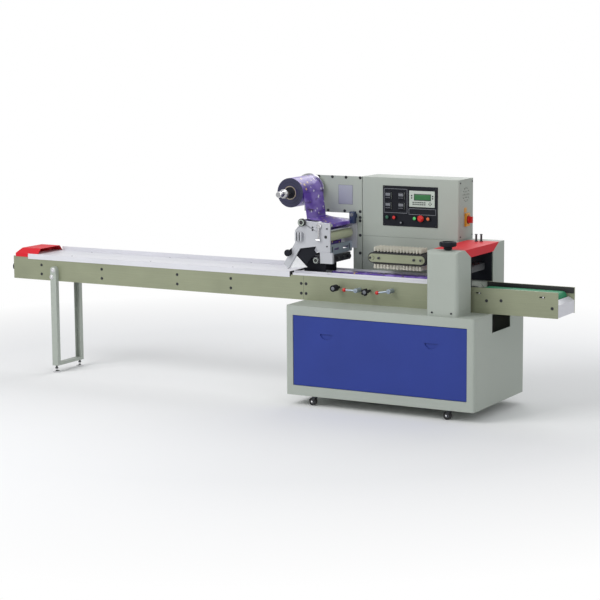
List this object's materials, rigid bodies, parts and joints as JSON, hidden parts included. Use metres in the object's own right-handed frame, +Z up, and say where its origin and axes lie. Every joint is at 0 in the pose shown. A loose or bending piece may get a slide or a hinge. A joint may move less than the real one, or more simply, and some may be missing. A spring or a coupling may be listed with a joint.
{
  "type": "horizontal flow wrapper",
  "caption": "Horizontal flow wrapping machine with chain infeed, film reel, brush conveyor, rotary end sealer and discharge belt on a castor cabinet.",
  "frame": {"origin": "floor level, at the middle of the footprint", "axes": "+X along the product flow, from the infeed tail to the discharge end; +Y to the back; +Z up"},
  "size_m": [3.896, 0.73, 1.363],
  "materials": {
    "painted_cream": "powder coat, satin",
    "painted_blue": "powder coat, satin",
    "painted_red": "gloss paint",
    "brushed_steel": "brushed",
    "bright_steel": "turned and polished",
    "aluminium": "anodised",
    "white_sheet": "white sheet",
    "black_plastic": "matt moulded",
    "red_plastic": "gloss moulded",
    "pale_plastic": "moulded",
    "rubber_black": "matt",
    "rubber_beige": "matt",
    "belt_green": "fine weave",
    "printed_film": "glossy printed film",
    "dark_steel": "blackened"
  },
  "bodies": {
    "swivel_left": {"castor_fork_left": "dark_steel"},
    "swivel_right": {"castor_fork_right": "dark_steel"},
    "wheel_left": {"castor_wheel_left": "rubber_black"},
    "wheel_right": {"castor_wheel_right": "rubber_black"},
    "reel": {"film_roll": "printed_film", "reel_shaft": "bright_steel"},
    "entry_roll": {"entry_roller": "bright_steel"},
    "nip_roll": {"nip_roller": "rubber_beige"},
    "upper_jaw": {"jaw_upper": "bright_steel"},
    "lower_jaw": {"jaw_lower": "bright_steel"},
    "height_wheel": {"sealer_handwheel": "black_plastic"},
    "side_knob": {"adjusting_knob": "black_plastic"},
    "lobed_knob": {"star_knob": "black_plastic"},
    "chain_knob": {"tail_knob": "black_plastic"},
    "left_lever": {"lever_left": "bright_steel"},
    "right_lever": {"lever_right": "bright_steel"},
    "switch_handle": {"main_switch_handle": "red_plastic"},
    "stop_button": {"emergency_stop": "red_plastic"},
    "root": {"bed_table": "white_sheet", "bed_ties": "brushed_steel", "brush_belt": "rubber_black", "brush_frame": "aluminium", "cabinet_back": "painted_cream", "cabinet_floor": "painted_cream", "cabinet_front": "painted_cream", "cabinet_left_side": "painted_cream", "cabinet_right_side": "painted_cream", "cabinet_top": "painted_cream", "castors_rear": "rubber_black", "control_fascia": "black_plastic", "discharge_belt": "belt_green", "discharge_end_sheet": "white_sheet", "discharge_rollers": "bright_steel", "feed_chain": "dark_steel", "film_bars": "bright_steel", "film_bracket_front": "aluminium", "film_bracket_rear": "aluminium", "film_former": "dark_steel", "film_tube": "printed_film", "film_web": "printed_film", "infeed_deck_front": "white_sheet", "infeed_deck_rear": "white_sheet", "instruments": "pale_plastic", "levelling_feet": "rubber_black", "main_switch_base": "pale_plastic", "pull_wheel_block": "aluminium", "push_buttons": "pale_plastic", "reel_plate": "painted_cream", "sealer_cover": "painted_red", "sealer_front_housing": "painted_cream", "sealer_rear_housing": "painted_cream", "service_panel": "painted_blue", "side_plates_front": "brushed_steel", "side_plates_rear": "brushed_steel", "slotted_plate": "aluminium", "stand_crossbar": "painted_cream", "stand_legs": "painted_cream", "tail_cover": "painted_red", "tower_housing": "painted_cream"}
  },
  "joints": [
    {"name": "castor_swivel_left", "type": "hinge", "parent": "root", "child": "swivel_left", "pos_m": [0.466, -0.315, 0.065], "axis": [0, 0, 1], "continuous": true},
    {"name": "castor_roll_left", "type": "hinge", "parent": "swivel_left", "child": "wheel_left", "pos_m": [0.45, -0.315, 0.025], "axis": [0, 1, 0], "continuous": true},
    {"name": "castor_swivel_right", "type": "hinge", "parent": "root", "child": "swivel_right", "pos_m": [1.358, -0.315, 0.065], "axis": [0, 0, 1], "continuous": true},
    {"name": "castor_roll_right", "type": "hinge", "parent": "swivel_right", "child": "wheel_right", "pos_m": [1.342, -0.315, 0.025], "axis": [0, 1, 0], "continuous": true},
    {"name": "reel_spin", "type": "hinge", "parent": "root", "child": "reel", "pos_m": [0.19, 0, 1.262], "axis": [0, 1, 0], "continuous": true},
    {"name": "entry_spin", "type": "hinge", "parent": "root", "child": "entry_roll", "pos_m": [0.298, 0, 1.09], "axis": [0, 1, 0], "continuous": true},
    {"name": "nip_spin", "type": "hinge", "parent": "root", "child": "nip_roll", "pos_m": [0.457, 0, 1.007], "axis": [0, 1, 0], "continuous": true},
    {"name": "jaw_turn", "type": "hinge", "parent": "root", "child": "upper_jaw", "pos_m": [1.315, 0, 0.8545], "axis": [0, 1, 0], "continuous": true},
    {"name": "jaw_turn_lower", "type": "hinge", "parent": "root", "child": "lower_jaw", "pos_m": [1.315, 0, 0.7055], "axis": [0, 1, 0], "continuous": true},
    {"name": "handwheel_turn", "type": "hinge", "parent": "root", "child": "height_wheel", "pos_m": [1.322, -0.275, 1.012], "axis": [0, 0, 1], "continuous": true},
    {"name": "adjusting_knob_turn", "type": "hinge", "parent": "root", "child": "side_knob", "pos_m": [0.532, -0.133, 0.705], "axis": [0, 1, 0], "continuous": true},
    {"name": "star_knob_turn", "type": "hinge", "parent": "root", "child": "lobed_knob", "pos_m": [0.742, -0.133, 0.695], "axis": [0, 1, 0], "continuous": true},
    {"name": "tail_knob_turn", "type": "hinge", "parent": "root", "child": "chain_knob", "pos_m": [-1.932, -0.1, 0.685], "axis": [1, 0, 0], "continuous": true},
    {"name": "left_lever_swing", "type": "hinge", "parent": "root", "child": "left_lever", "pos_m": [0.672, -0.133, 0.697], "axis": [0, 1, 0], "range_deg": [0, 90]},
    {"name": "right_lever_swing", "type": "hinge", "parent": "root", "child": "right_lever", "pos_m": [0.893, -0.133, 0.706], "axis": [0, 1, 0], "range_deg": [0, 90]},
    {"name": "main_switch_turn", "type": "hinge", "parent": "root", "child": "switch_handle", "pos_m": [1.195, 0.258, 1.108], "axis": [1, 0, 0], "range_deg": [0, 90]},
    {"name": "emergency_stop_press", "type": "slide", "parent": "root", "child": "stop_button", "axis": [0, 1, 0], "range_m": [0, 0.005], "stiffness_N_per_m": 800}
  ],
  "couplings": [
    {"joint": "jaw_turn_lower", "follows": "jaw_turn", "ratio": -1}
  ]
}
